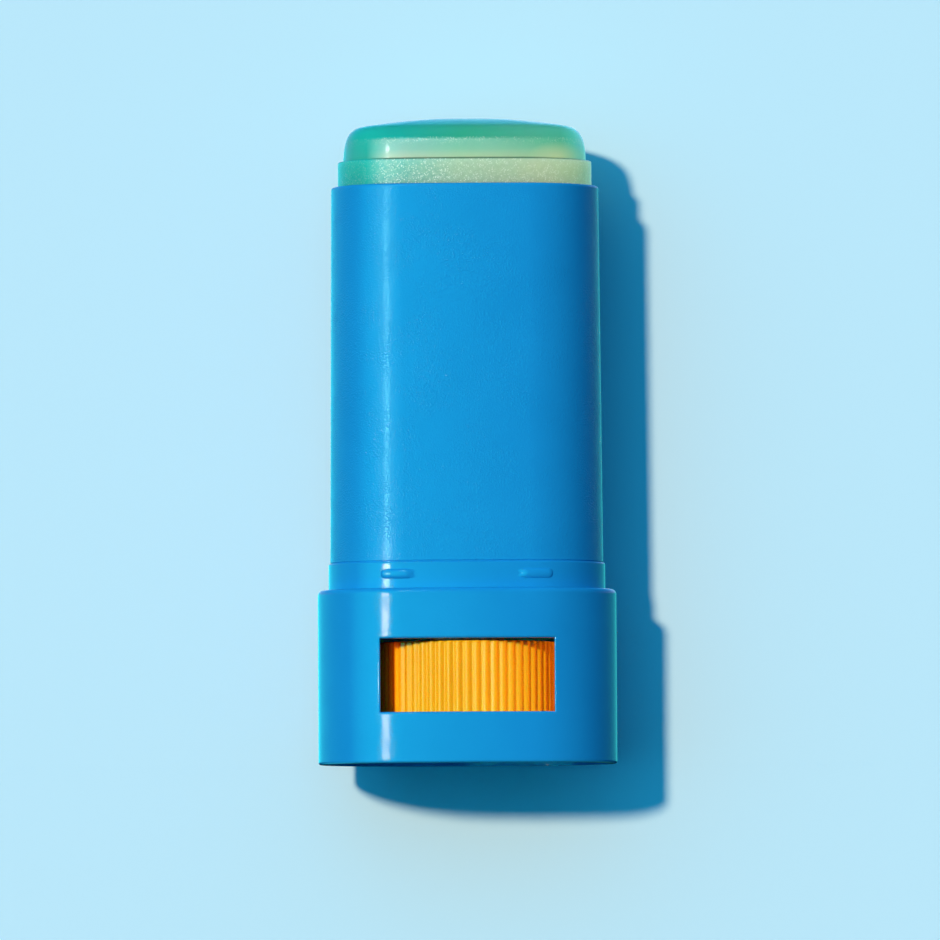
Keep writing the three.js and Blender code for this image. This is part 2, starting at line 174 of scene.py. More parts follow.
# Fineness of the meshes
edge_steps = 6
edge_support = 0.12 * MM
long_stretch = 4 * edge_support
bead_rows = 32
barrel_end_columns, barrel_bead_columns, barrel_face_columns = 40, 60, 16
base_end_columns, window_columns = 48, 64
window_steps = 5
lid_columns = 48
rib_columns = 12
balm_end_columns, balm_face_columns = 60, 12
shoulder_steps = 24
crown_steps = 14
sharp_angle = math.radians(25)


# Ovals and skins

def oval_point(angle, half):
    """Point of the oval of a half-width where its normal has an angle from +X."""
    across, along = math.cos(angle), math.sin(angle)
    if abs(along) > math.cos(face_turn):
        radius = face_centre + half - oval_spread
        return radius * across, radius * along - math.copysign(face_centre, along)
    radius = half - end_centre
    return math.copysign(end_centre, across) + radius * across, radius * along


def oval_angle(x, half):
    """Normal angle, in the first quarter, where the oval of a half-width reaches x."""
    face_radius = face_centre + half - oval_spread
    if x <= face_radius * math.sin(face_turn):
        return math.acos(x / face_radius)
    return math.acos((x - end_centre) / (half - end_centre))


def oval_y(x, half):
    """How far the oval of a half-width reaches along Y at x."""
    return oval_point(oval_angle(abs(x), half), half)[1]


def all_round(stops):
    """Angles all round an oval, from a first quarter given as (angle, steps to the next angle)."""
    quarter = []
    for (start, steps), (end, _) in zip(stops, stops[1:]):
        quarter += [start + (end - start) * step / steps for step in range(steps)]
    quarter.append(stops[-1][0])
    second = [math.pi - angle for angle in reversed(quarter)]
    half = quarter[:-1] + second[:-1]
    return half + [math.pi + angle for angle in half]


def oval_row(half, z, angles, shrink=1.0):
    """Points of an oval at a height, drawn in towards the axis by a shrink."""
    points = [oval_point(angle, half) for angle in angles]
    return [(x * shrink, y * shrink, z) for x, y in points]


def round_row(radius, z, angles):
    """Points of a circle at a height."""
    return [(radius * math.cos(angle), radius * math.sin(angle), z) for angle in angles]


def quarter_round(half, z, radius, start, end):
    """(half-width, height) points on a rounded edge round its centre, from one angle to another."""
    turns = [start + (end - start) * step / edge_steps for step in range(edge_steps + 1)]
    return [(half + radius * math.cos(turn), z + radius * math.sin(turn)) for turn in turns]


def upper_edge(half, z, radius):
    """The rounded edge from a side at a half-width to a top at a height."""
    return quarter_round(half - radius, z - radius, radius, 0, QUARTER)


def lower_edge(half, z, radius):
    """The rounded edge from a bottom at a height to a side at a half-width."""
    return quarter_round(half - radius, z + radius, radius, -QUARTER, 0)


def held(outline):
    """The outline with a point close to each end of its long stretches, so that they are shaded flat."""
    points = []
    for (half, z), (next_half, next_z) in zip(outline, outline[1:]):
        points.append((half, z))
        length = math.hypot(next_half - half, next_z - z)
        if length > long_stretch:
            for share in (edge_support / length, 1 - edge_support / length):
                points.append((half + (next_half - half) * share, z + (next_z - z) * share))
    return points + [outline[-1]]


def skin(rows, closed=True, left_out=()):
    """Points and quads over rows of points. left_out holds the (row, column) cells that stay open."""
    count = len(rows[0])
    points = [point for row in rows for point in row]
    faces = []
    for low in range(len(rows) if closed else len(rows) - 1):
        high = (low + 1) % len(rows)
        for column in range(count):
            after = (column + 1) % count
            if (low, column) in left_out:
                continue
            corners = [(low, column), (low, after), (high, after), (high, column)]
            faces.append([row * count + spot for row, spot in corners])
    return points, faces


def capped(points, faces, count, bottom, top):
    """Closes a skin's first and last row, each round a middle point at a height."""
    last = len(points) - count
    points += [(0, 0, bottom), (0, 0, top)]
    bottom_spot, top_spot = len(points) - 2, len(points) - 1
    faces += [[(spot + 1) % count, spot, bottom_spot] for spot in range(count)]
    faces += [[last + spot, last + (spot + 1) % count, top_spot] for spot in range(count)]
    return points, faces


def piece(name, points, faces, finish):
    """A smooth mesh object with one finish, with its place in its vertices."""
    mesh = bpy.data.meshes.new(name)
    mesh.from_pydata(points, [], faces)
    mesh.shade_smooth()
    mesh.set_sharp_from_angle(angle=sharp_angle)
    mesh.materials.append(finish)
    made = bpy.data.objects.new(name, mesh)
    bpy.context.scene.collection.objects.link(made)
    return made


# Nodes

def feed(tree, socket, value):
    """Gives a node's input a value: another node's output, a colour or a plain number."""
    if isinstance(value, bpy.types.NodeSocket):
        tree.links.new(value, socket)
    elif isinstance(value, tuple):
        socket.default_value = (*value, 1.0)
    else:
        socket.default_value = value


def math_node(tree, operation, *values):
    """The result of an operation on values that may be sockets or plain numbers."""
    made = tree.nodes.new("ShaderNodeMath")
    made.operation = operation
    for socket, value in zip(made.inputs, values):
        feed(tree, socket, value)
    return made.outputs[0]


def product(tree, first, second):
    return math_node(tree, "MULTIPLY", first, second)


def axes_of(tree, place):
    """The X, Y and Z of a place or a direction."""
    made = tree.nodes.new("ShaderNodeSeparateXYZ")
    tree.links.new(place, made.inputs[0])
    return made.outputs


def noise(tree, place, size, detail=2.0):
    """A noise whose features are about a size across."""
    made = tree.nodes.new("ShaderNodeTexNoise")
    made.inputs["Scale"].default_value = 1 / size
    made.inputs["Detail"].default_value = detail
    tree.links.new(place, made.inputs["Vector"])
    return made.outputs["Fac"]


def spread(tree, value, low, high, to_low=0.0, to_high=1.0):
    """A value's range from low to high, turned into another range and held there."""
    made = tree.nodes.new("ShaderNodeMapRange")
    sockets = ("From Min", "From Max", "To Min", "To Max")
    for socket, number in zip(sockets, (low, high, to_low, to_high)):
        made.inputs[socket].default_value = number
    tree.links.new(value, made.inputs["Value"])
    return made.outputs["Result"]


def ramp(tree, value, stops):
    """A colour ramp through (position, colour) stops."""
    made = tree.nodes.new("ShaderNodeValToRGB")
    elements = made.color_ramp.elements
    while len(elements) < len(stops):
        elements.new(1.0)
    for element, (position, colour) in zip(elements, stops):
        element.position = position
        element.color = (*colour, 1.0)
    tree.links.new(value, made.inputs["Fac"])
    return made.outputs["Color"]


def mixed(tree, share, first, second):
    """Two colours mixed by a share. Each of the three may be a socket or a plain value."""
    made = tree.nodes.new("ShaderNodeMix")
    made.data_type = "RGBA"
    sockets = {socket.identifier: socket for socket in made.inputs}
    for identifier, value in (("Factor_Float", share), ("A_Color", first), ("B_Color", second)):
        feed(tree, sockets[identifier], value)
    return next(socket for socket in made.outputs if socket.identifier == "Result_Color")


def bumped(tree, height, distance, strength=1.0):
    """A bump of a distance from a height. The strength may be a socket or a plain number."""
    made = tree.nodes.new("ShaderNodeBump")
    made.inputs["Distance"].default_value = distance
    feed(tree, made.inputs["Strength"], strength)
    tree.links.new(height, made.inputs["Height"])
    return made.outputs["Normal"]


# Finishes

# The part of a noise's range that most of it lies in
noise_span = (0.3, 0.7)
drift_size = 9 * MM
plastic_specular = 0.2


def new_finish(name):
    """An empty node finish: its tree, its surface shader and a node of Object coordinates."""
    finish = bpy.data.materials.new(name)
    finish.use_nodes = True
    tree = finish.node_tree
    surface = tree.nodes["Principled BSDF"]
    place = tree.nodes.new("ShaderNodeTexCoord").outputs["Object"]
    return finish, tree, surface, place


def two_tones(tree, pattern, deep, colour):
    """A colour that goes from one tone to another as a noise does."""
    return ramp(tree, pattern, list(zip(noise_span, (deep, colour))))


def dress(tree, surface, colour, roughness, normal):
    """Gives a surface its colour, roughness and bump from their nodes."""
    for name, value in (("Base Color", colour), ("Roughness", roughness), ("Normal", normal)):
        tree.links.new(value, surface.inputs[name])


def soaked(surface, weight, radius, scale):
    """Lets light into a surface, as far as a scale, by a share of that for each colour."""
    surface.inputs["Subsurface Weight"].default_value = weight
    surface.inputs["Subsurface Radius"].default_value = radius
    surface.inputs["Subsurface Scale"].default_value = scale


def moulded_plastic(name, colour, deep, roughness, specular=plastic_specular, grain=0.25 * MM):
    """Satin plastic: a slight drift of colour, and a gloss and a grain that vary together."""
    grain_bump = 0.008 * MM
    finish, tree, surface, place = new_finish(name)
    eroded = noise(tree, place, grain, detail=1.0)
    dress(
        tree,
        surface,
        two_tones(tree, noise(tree, place, drift_size), deep, colour),
        spread(tree, eroded, *noise_span, *roughness),
        bumped(tree, eroded, grain_bump),
    )
    surface.inputs["Specular IOR Level"].default_value = specular
    return finish


def barrel_blue():
    """Blue plastic, polished up to the collar's top and spark-eroded with scattered grains above it."""
    deep, colour = (0.006, 0.258, 0.645), (0.007, 0.275, 0.675)
    grain_size, grain_bump = 0.2 * MM, 0.02 * MM
    grain_range = (0.45, 0.7)
    patch_size, patch_range = 4 * MM, (0.4, 0.6)
    least_patch = 0.5
    polished_grain = 0.3
    polished_roughness, eroded_roughness = 0.09, 0.19
    unevenness = (0.85, 1.15)
    change = (collar_top, collar_top + 0.1 * MM)

    finish, tree, surface, place = new_finish("blue_plastic")
    height = axes_of(tree, place)["Z"]
    eroded = noise(tree, place, grain_size, detail=1.0)
    grains = spread(tree, eroded, *grain_range)
    above_collar = spread(tree, height, *change, polished_grain, 1.0)
    patches = spread(tree, noise(tree, place, patch_size), *patch_range, least_patch, 1.0)
    dull = spread(tree, height, *change, polished_roughness, eroded_roughness)
    dress(
        tree,
        surface,
        two_tones(tree, noise(tree, place, drift_size), deep, colour),
        product(tree, dull, spread(tree, eroded, *noise_span, *unevenness)),
        bumped(tree, grains, grain_bump, product(tree, above_collar, patches)),
    )
    surface.inputs["Specular IOR Level"].default_value = plastic_specular
    return finish


def soft_rubber(name, colour, deep):
    """Matte rubber or silicone with a dusty drift and a fine grain."""
    return moulded_plastic(name, colour, deep, (0.55, 0.75), grain=0.2 * MM)


def spring_steel():
    """Bright steel with fine scratches."""
    scratch_size, scratch_bump = 0.15 * MM, 0.01 * MM
    scratch_strength = 0.2
    roughness = (0.22, 0.36)
    finish, tree, surface, place = new_finish("spring_steel")
    lines = noise(tree, place, scratch_size, detail=3.0)
    dress(
        tree,
        surface,
        two_tones(tree, lines, (0.5, 0.51, 0.53), (0.66, 0.67, 0.69)),
        spread(tree, lines, *noise_span, *roughness),
        bumped(tree, lines, scratch_bump, scratch_strength),
    )
    surface.inputs["Metallic"].default_value = 1.0
    return finish


# The balm's finish

# Where the crown's darker gel begins, and heights as shares of the side and of all that stands out
crown_line = dome_top - 2.75 * MM
band_share = (band_top - rim_top) / (crown_line - rim_top)
grain_top = (band_top - rim_top) / (dome_top - rim_top)
sparkle_line = (crown_line - rim_top) / (dome_top - rim_top)

# The height over which the finish changes at the balm's step
step_change = (band_top, band_top + 0.1 * MM)


def sideways(tree, across, start, end, low=0.0, high=1.0):
    """A share that changes between two places across the balm, given as shares of its half-width."""
    return spread(tree, across, start * band_half, end * band_half, low, high)


def side_tones(tree, up_side, band_foot, band_head, step_shade, dome_foot, dome_side, dome_shoulder):
    """Tones up the balm's side: the band, a painted shade line at the step and the dome up to its crown.
    """
    step_blend = 0.035
    dome_middle = 0.75
    return ramp(tree, up_side, [
        (0.0, band_foot),
        (band_share - step_blend, band_head),
        (band_share, step_shade),
        (band_share + step_blend, dome_foot),
        (dome_middle, dome_side),
        (1.0, dome_shoulder),
    ])


def balm_sides(tree, across, height):
    """The gel's tones below the crown: cooler to the left, and to the right warmer and brighter with
    painted light.
    """
    # Painted shade along the step: dark to the left and middle, fainter to the right
    painted_step_shade, faint_painted_step_shade = (0.01, 0.09, 0.035), (0.03, 0.14, 0.06)
    up_side = spread(tree, height, rim_top, crown_line)
    left = side_tones(tree, up_side, (0.16, 0.47, 0.39), (0.18, 0.50, 0.42), painted_step_shade,
                      (0.52, 0.60, 0.47), (0.31, 0.53, 0.46), (0.21, 0.48, 0.43))
    middle = side_tones(tree, up_side, (0.37, 0.52, 0.34), (0.40, 0.56, 0.38), painted_step_shade,
                        (0.46, 0.62, 0.41), (0.26, 0.55, 0.40), (0.17, 0.49, 0.38))
    # Painted light: the right-hand tones are brighter and warmer, against the shade on that side
    right = side_tones(tree, up_side, (0.50, 0.56, 0.34), (0.51, 0.59, 0.38), faint_painted_step_shade,
                       (0.30, 0.54, 0.36), (0.20, 0.50, 0.32), (0.10, 0.46, 0.28))
    to_left = sideways(tree, across, -0.05, -0.5)
    to_right = sideways(tree, across, 0.2, 0.9)
    return mixed(tree, to_right, mixed(tree, to_left, middle, left), right)


def crown_share(tree, place, across, height):
    """How far a place belongs to the crown: a wavering edge to the left, and a hazy one to the right."""
    waver_size = 0.5 * MM
    crisp_from, crisp_to = crown_line + 0.05 * MM, crown_line + 0.25 * MM
    hazy_from, hazy_to = crown_line - 1.6 * MM, crown_line + 0.2 * MM
    wavering = math_node(tree, "MULTIPLY_ADD", noise(tree, place, waver_size), waver_size, height)
    crisp = spread(tree, wavering, crisp_from, crisp_to)
    hazy = spread(tree, height, hazy_from, hazy_to)
    edge = tree.nodes.new("ShaderNodeMix")
    for socket, value in zip(("Factor", "A", "B"), (sideways(tree, across, 0.2, 0.9), crisp, hazy)):
        tree.links.new(value, edge.inputs[socket])
    return edge.outputs["Result"]


def painted_glow_patch(tree, place):
    """A painted glow: a share that fades away from one place low on the dome's right, where light gathers
    in the gel.
    """
    patch_x, patch_z = 0.75 * band_half, band_top + 0.1 * MM
    patch_width, patch_height = 4.0 * MM, 2.0 * MM
    patch = tree.nodes.new("ShaderNodeMapping")
    patch.inputs["Location"].default_value = (-patch_x / patch_width, 0, -patch_z / patch_height)
    patch.inputs["Scale"].default_value = (1 / patch_width, 0, 1 / patch_height)
    tree.links.new(place, patch.inputs["Vector"])
    away = tree.nodes.new("ShaderNodeVectorMath")
    away.operation = "LENGTH"
    tree.links.new(patch.outputs[0], away.inputs[0])
    return spread(tree, away.outputs["Value"], 1.0, 0.1, 0.0, 0.8)


def grain_and_glint_share(tree, across, height):
    """How grainy the gel is, which also sets its painted glints: most on the band, a little along the
    crown's edge, and less to both ends.
    """
    band_foot, band_head, clear, sparkling = 0.85, 0.55, 0.02, 0.4
    levels = [
        (0.0, band_foot),
        (grain_top - 0.02, band_head),
        (grain_top, clear),
        (sparkle_line - 0.12, clear),
        (sparkle_line, sparkling),
        (sparkle_line + 0.02, 0.0),
    ]
    up_balm = spread(tree, height, rim_top, dome_top)
    grain_and_glints = ramp(tree, up_balm, [(position, (level, level, level)) for position, level in levels])
    grain_and_glints = product(tree, grain_and_glints, sideways(tree, across, -0.74, -0.64, 0.15, 1.0))
    # Heavier to the left of the middle, where the painted glints gather under the highlight
    return product(tree, grain_and_glints, sideways(tree, across, -0.2, 0.4, 1.0, 0.6))


def balm_gel():
    """Frosted gel: teal over the crown and at one end, paler on its sides, and warmer at the other end
    with painted light.
    """
    fleck_size, glint_cell_size, cloud_size = 0.21 * MM, 0.6 * MM, 0.5 * MM
    grain_size, grain_bump = 0.22 * MM, 0.12 * MM
    band_roughness, dome_roughness = 0.24, 0.16
    finish, tree, surface, place = new_finish("balm_gel")
    across, _, height = axes_of(tree, place)
    above_step = spread(tree, height, *step_change, 0.0, 0.9)

    crown = ramp(tree, sideways(tree, across, -1.0, 1.0), [
        (0.25, (0.011, 0.365, 0.317)),
        (0.5, (0.035, 0.365, 0.245)),
        (0.75, (0.071, 0.367, 0.260)),
        (0.9, (0.075, 0.40, 0.29)),
    ])
    sides = balm_sides(tree, across, height)
    tones = mixed(tree, crown_share(tree, place, across, height), sides, crown)
    teal_end = sideways(tree, across, -0.60, -0.77, 0.0, 0.95)
    tones = mixed(tree, teal_end, tones, (0.010, 0.44, 0.38))
    # Painted light: the right end is made greener and brighter against its shade
    painted_light_green_end = product(tree, sideways(tree, across, 0.76, 0.88, 0.0, 0.85), above_step)
    tones = mixed(tree, painted_light_green_end, tones, (0.13, 0.60, 0.52))
    # Painted glow low on the dome's right
    patch = product(tree, painted_glow_patch(tree, place), above_step)
    tones = mixed(tree, patch, tones, (0.62, 0.66, 0.40))

    grain_and_glints = grain_and_glint_share(tree, across, height)
    # White flecks: grains of the gel, and painted glints where the grain share gathers them
    cells = tree.nodes.new("ShaderNodeTexVoronoi")
    cells.inputs["Scale"].default_value = 1 / fleck_size
    tree.links.new(place, cells.inputs["Vector"])
    flecks_and_glints = spread(tree, cells.outputs["Distance"], 0.46, 0.18)
    painted_glint_cells = spread(tree, noise(tree, place, glint_cell_size), 0.42, 0.54, 0.05, 1.0)
    clouds = spread(tree, noise(tree, place, cloud_size), 0.35, 0.65, 0.0, 0.25)
    tones = mixed(tree, product(tree, clouds, grain_and_glints), tones, (0.70, 0.85, 0.62))
    tones = mixed(tree, product(tree, product(tree, flecks_and_glints, painted_glint_cells), grain_and_glints), tones, (0.95, 1.0, 0.9))
    dress(
        tree,
        surface,
        tones,
        spread(tree, height, *step_change, band_roughness, dome_roughness),
        bumped(tree, noise(tree, place, grain_size, detail=1.0), grain_bump, grain_and_glints),
    )
    surface.inputs["Specular IOR Level"].default_value = 0.25
    surface.inputs["Sheen Weight"].default_value = 0.3
    surface.inputs["Sheen Roughness"].default_value = 0.35
    surface.inputs["Sheen Tint"].default_value = (0.25, 0.75, 1.0, 1.0)
    soaked(surface, 1.0, (1.0, 1.0, 0.8), 8 * MM)
    return finish


blue = barrel_blue()
orange = moulded_plastic(
    "orange_plastic", (0.93, 0.45, 0.010), (0.89, 0.41, 0.008), (0.26, 0.34), specular=0.22)
white = moulded_plastic("white_plastic", (0.88, 0.89, 0.86), (0.83, 0.85, 0.82), (0.38, 0.52))
soaked(orange.node_tree.nodes["Principled BSDF"], 0.25, (1.0, 0.12, 0.03), 2.2 * MM)
silicone = soft_rubber("silicone", (0.73, 0.79, 0.79), (0.66, 0.73, 0.73))
black = soft_rubber("black_rubber", (0.022, 0.024, 0.026), (0.015, 0.016, 0.018))
steel = spring_steel()
gel = balm_gel()


# Barrel

def bead_lift(x, z):
    """How far the collar's surface stands out at a place, which is nothing away from the beads."""
    past_end = max(abs(abs(x) - bead_x) - (bead_length - bead_height) / 2, 0)
    away = math.hypot(past_end, z - bead_z) / (bead_height / 2)
    return bead_proud * max(1 - away**2, 0) ** bead_fall


def beaded_row(half, z, angles):
    """A row of the collar, raised where the beads lie on its front and back."""
    row = []
    for angle in angles:
        x, y = oval_point(angle, half)
        lift = bead_lift(x, z) if abs(y) > oval_y(bead_x + bead_length, half) else 0
        row.append((x + lift * math.cos(angle), y + lift * math.sin(angle), z))
    return row


def make_barrel():
    """Oval tube with its floor, foot, beaded collar and rounded rim, as one closed wall."""
    bead_reach = bead_length / 2 + slide_gap
    angles = all_round([
        (0, barrel_end_columns),
        (oval_angle(bead_x + bead_reach, collar_half), barrel_bead_columns),
        (oval_angle(bead_x - bead_reach, collar_half), barrel_face_columns),
        (QUARTER, 0),
    ])
    seat = base_top - collar_seat + snug_gap
    foot_bead_top = base_top - lip_thickness - snug_gap
    foot_bead_bottom = foot_bead_top - foot_bead_height
    floor_top = foot_bottom + floor_thickness
    bead_span = bead_height + 2 * snug_gap
    bead_foot = bead_z - bead_span / 2
    groove_half = body_half - groove_depth
    outside = [
        (foot_half, foot_bottom),
        (foot_half, foot_bead_bottom - foot_bead_half + foot_half),
        (foot_bead_half, foot_bead_bottom),
        (foot_bead_half, foot_bead_top),
        (foot_half, foot_bead_top),
        (foot_half, seat),
        (collar_half, seat),
    ]
    outside += [(collar_half, bead_foot + bead_span * step / bead_rows) for step in range(bead_rows + 1)]
    outside += upper_edge(collar_half, collar_top, collar_rounding)
    outside += [
        (groove_half, collar_top),
        (groove_half, collar_top + groove_width),
        (body_half, collar_top + groove_width + groove_depth),
    ]
    outside += upper_edge(rim_half, rim_top, rim_rounding)
    inside = quarter_round(
        bore_half + mouth_rounding, rim_top - mouth_rounding, mouth_rounding, QUARTER, math.pi)
    inside.append((bore_half, floor_top))
    rows = [beaded_row(half, z, angles) for half, z in held(outside)]
    rows += [oval_row(half, z, angles) for half, z in held(inside)]
    rows += [round_row(seal_pocket, z, angles) for z in (floor_top, seal_pocket_bottom)]
    rows += [round_row(journal_hole, z, angles) for z in (seal_pocket_bottom, foot_bottom)]
    return piece("barrel_moulding", *skin(rows), blue)


# Base

def pushed_row(half, z, angles, radius):
    """A row of an oval, pushed out to a radius wherever it lies closer to the axis."""
    row = []
    for x, y, height in oval_row(half, z, angles):
        push = max(1.0, radius / math.hypot(x, y))
        row.append((x * push, y * push, height))
    return row


def window_angles(half, border):
    """Angles round the base's oval of a half-width, close together between a window's borders."""
    return all_round([
        (0, base_end_columns),
        (oval_angle(border, half), window_columns // 2),
        (QUARTER, 0),
    ])


def make_base():
    """Oval sleeve with a lip, a wheel well, and a window with softened edges in front and behind."""
    outer = window_angles(base_half, window_half + window_rounding)
    inner = window_angles(cavity_half, window_half)
    lip_bottom = base_top - lip_thickness
    ledge = plate_bottom + plate_thickness + snug_gap
    sill, head = window_sill - window_rounding, window_top + window_rounding
    outside = held(lower_edge(base_half, base_bottom, base_foot_rounding) + [(base_half, sill)])
    sill_row = len(outside) - 1
    outside += held([(base_half, head)] + upper_edge(base_half, base_top, base_top_rounding))
    outside += [
        (seat_half, base_top),
        (seat_half, base_top - collar_seat),
        (lip_half, base_top - collar_seat),
        (lip_half, lip_bottom),
    ]
    rows = [oval_row(half, z, outer) for half, z in outside]
    rows += [oval_row(cavity_half, lip_bottom, inner), oval_row(cavity_half, window_top, inner)]
    head_row = len(rows)
    rows += [pushed_row(cavity_half, z, inner, wheel_well) for z in (window_top, window_sill, ledge)]
    rows += [pushed_row(rebate_half, z, inner, wheel_well) for z in (ledge, base_bottom)]

    count = len(outer)
    first_back = base_end_columns
    first_front = count // 2 + base_end_columns
    openings = [range(first, first + window_columns) for first in (first_back, first_front)]
    open_rows = (sill_row, head_row)
    left_out = {(row, column) for row in open_rows for opening in openings for column in opening}
    points, faces = skin(rows, left_out=left_out)
    for opening in openings:
        columns = list(opening) + [opening.stop]
        upper, lower = sill_row + 1, head_row + 1
        outer_loop = [sill_row * count + column for column in columns]
        outer_loop += [upper * count + column for column in reversed(columns)]
        inner_loop = [lower * count + column for column in columns]
        inner_loop += [head_row * count + column for column in reversed(columns)]
        line_window(points, faces, outer_loop, inner_loop)
    return piece("base_moulding", points, faces, blue)


def line_window(points, faces, outer_loop, inner_loop):
    """Walls of a window: a rounded edge in from the face, then straight through to the inner wall."""
    border = window_half + window_rounding
    loops = [outer_loop]
    for step in range(1, window_steps + 1):
        turn = QUARTER * step / window_steps
        outset = window_rounding * (1 - math.sin(turn))
        depth = window_rounding * (1 - math.cos(turn))
        loop = []
        for spot in outer_loop:
            x, y, z = points[spot]
            new_x = x * (window_half + outset) / border
            new_y = math.copysign(oval_y(new_x, base_half) - depth, y)
            new_z = window_top + outset if z > window_middle else window_sill - outset
            loop.append(len(points))
            points.append((new_x, new_y, new_z))
        loops.append(loop)
    loops.append(inner_loop)
    for near, far in zip(loops, loops[1:]):
        for spot in range(len(near)):
            after = (spot + 1) % len(near)
            faces.append([near[after], near[spot], far[spot], far[after]])


def make_lid():
    """Lid under the base, lobed to close the wheel well, with the boss that the screw's pin turns in."""
    angles = all_round([(0, lid_columns), (QUARTER, 0)])
    lobe = wheel_well - snug_gap
    plate_top = plate_bottom + plate_thickness
    outline = lower_edge(plate_half, plate_bottom, plate_rounding) + [(plate_half, plate_top)]
    rows = [pushed_row(half, z, angles, lobe - (plate_half - half)) for half, z in outline]
    rows += [round_row(boss_radius, z, angles) for z in (plate_top, boss_top)]
    rows += [round_row(boss_hole, z, angles) for z in (boss_top, plate_top)]
    points, faces = skin(rows, closed=False)
    points, faces = capped(points, faces, len(angles), plate_bottom, plate_top)
    return piece("base_lid", points, faces, blue)


# Thumbwheel

def rib_tree():
    """Nodes that press ribs into a turned wheel's rim, from a count, a depth and the crests' radius."""
    tree = bpy.data.node_groups.new("wheel_ribs", "GeometryNodeTree")
    sockets = [
        ("Wheel", "INPUT", "NodeSocketGeometry"),
        ("Ribs", "INPUT", "NodeSocketInt"),
        ("Rib Depth", "INPUT", "NodeSocketFloat"),
        ("Valley Softness", "INPUT", "NodeSocketFloat"),
        ("Crest Radius", "INPUT", "NodeSocketFloat"),
        ("Finish", "INPUT", "NodeSocketMaterial"),
        ("Ribbed Wheel", "OUTPUT", "NodeSocketGeometry"),
    ]
    for name, way, kind in sockets:
        tree.interface.new_socket(name, in_out=way, socket_type=kind)
    taken = tree.nodes.new("NodeGroupInput").outputs
    given = tree.nodes.new("NodeGroupOutput").inputs

    def calc(operation, *values):
        return math_node(tree, operation, *values)

    x, y, z = axes_of(tree, tree.nodes.new("GeometryNodeInputPosition").outputs[0])
    turn = calc("ARCTAN2", y, x)
    radius = calc("SQRT", calc("ADD", calc("MULTIPLY", x, x), calc("MULTIPLY", y, y)))
    wave = calc("COSINE", calc("MULTIPLY", turn, calc("DIVIDE", taken["Ribs"], 2.0)))
    softened = calc("ADD", calc("MULTIPLY", wave, wave), taken["Valley Softness"])
    crest = calc("MINIMUM", calc("SQRT", softened), 1.0)
    sunk = calc("MULTIPLY", taken["Rib Depth"], calc("SUBTRACT", 1.0, crest))
    rim_from = calc("SUBTRACT", taken["Crest Radius"], calc("MULTIPLY", taken["Rib Depth"], 2.0))
    on_rim = calc("GREATER_THAN", radius, rim_from)
    share = calc("DIVIDE", calc("SUBTRACT", radius, calc("MULTIPLY", sunk, on_rim)), radius)
    moved = tree.nodes.new("ShaderNodeCombineXYZ")
    tree.links.new(calc("MULTIPLY", x, share), moved.inputs["X"])
    tree.links.new(calc("MULTIPLY", y, share), moved.inputs["Y"])
    tree.links.new(z, moved.inputs["Z"])

    pressed = tree.nodes.new("GeometryNodeSetPosition")
    tree.links.new(taken["Wheel"], pressed.inputs["Geometry"])
    tree.links.new(moved.outputs[0], pressed.inputs["Position"])
    realized = tree.nodes.new("GeometryNodeRealizeInstances")
    tree.links.new(pressed.outputs[0], realized.inputs[0])
    finished = tree.nodes.new("GeometryNodeSetMaterial")
    tree.links.new(realized.outputs[0], finished.inputs["Geometry"])
    tree.links.new(taken["Finish"], finished.inputs["Material"])
    tree.links.new(finished.outputs[0], given["Ribbed Wheel"])
    return tree


def with_nodes(made, tree, **values):
    """The object with a node tree run on it, as a plain mesh. Values are the tree's inputs by name."""
    modifier = made.modifiers.new(tree.name, "NODES")
    modifier.node_group = tree
    for socket in tree.interface.items_tree:
        key = socket.name.lower().replace(" ", "_")
        if key in values:
            modifier[socket.identifier] = values[key]
    evaluated = made.evaluated_get(bpy.context.evaluated_depsgraph_get())
    plain = bpy.data.meshes.new_from_object(evaluated)
    made.modifiers.remove(modifier)
    made.data = plain
    return made


def make_wheel():
    """Ribbed wheel: a turned hub, web and rim, with ribs pressed into the rim."""
    column_count = rib_count * rib_columns
    angles = [FULL * step / column_count for step in range(column_count)]
    rim_inner = wheel_radius - rib_depth - wheel_rim_wall
    web_bottom = wheel_top - wheel_web
    pocket_top = wheel_bottom + clip_pocket_depth
    outline = [
        (wheel_bore, wheel_top),
        (wheel_bore, pocket_top),
        (clip_pocket, pocket_top),
        (clip_pocket, wheel_bottom),
        (boss_radius, wheel_bottom),
        (boss_radius, web_bottom),
        (rim_inner, web_bottom),
        (rim_inner, wheel_bottom),
    ]
    outline += lower_edge(wheel_radius, wheel_bottom, wheel_edge)
    outline += upper_edge(wheel_radius, wheel_top, wheel_edge)
    rows = [round_row(radius, z, angles) for radius, z in held(outline)]
    wheel = piece("ribbed_wheel", *skin(rows), orange)
    return with_nodes(
        wheel,
        rib_tree(),
        ribs=rib_count,
        rib_depth=rib_depth,
        valley_softness=valley_softness,
        crest_radius=wheel_radius,
        finish=orange,
    )


# Balm

def bezier(corners, share):
    """The (half-width, height) point at a share of a cubic curve's way."""
    rest = 1 - share
    weights = (rest**3, 3 * rest**2 * share, 3 * rest * share**2, share**3)
    return [sum(weight * corner[axis] for weight, corner in zip(weights, corners)) for axis in (0, 1)]


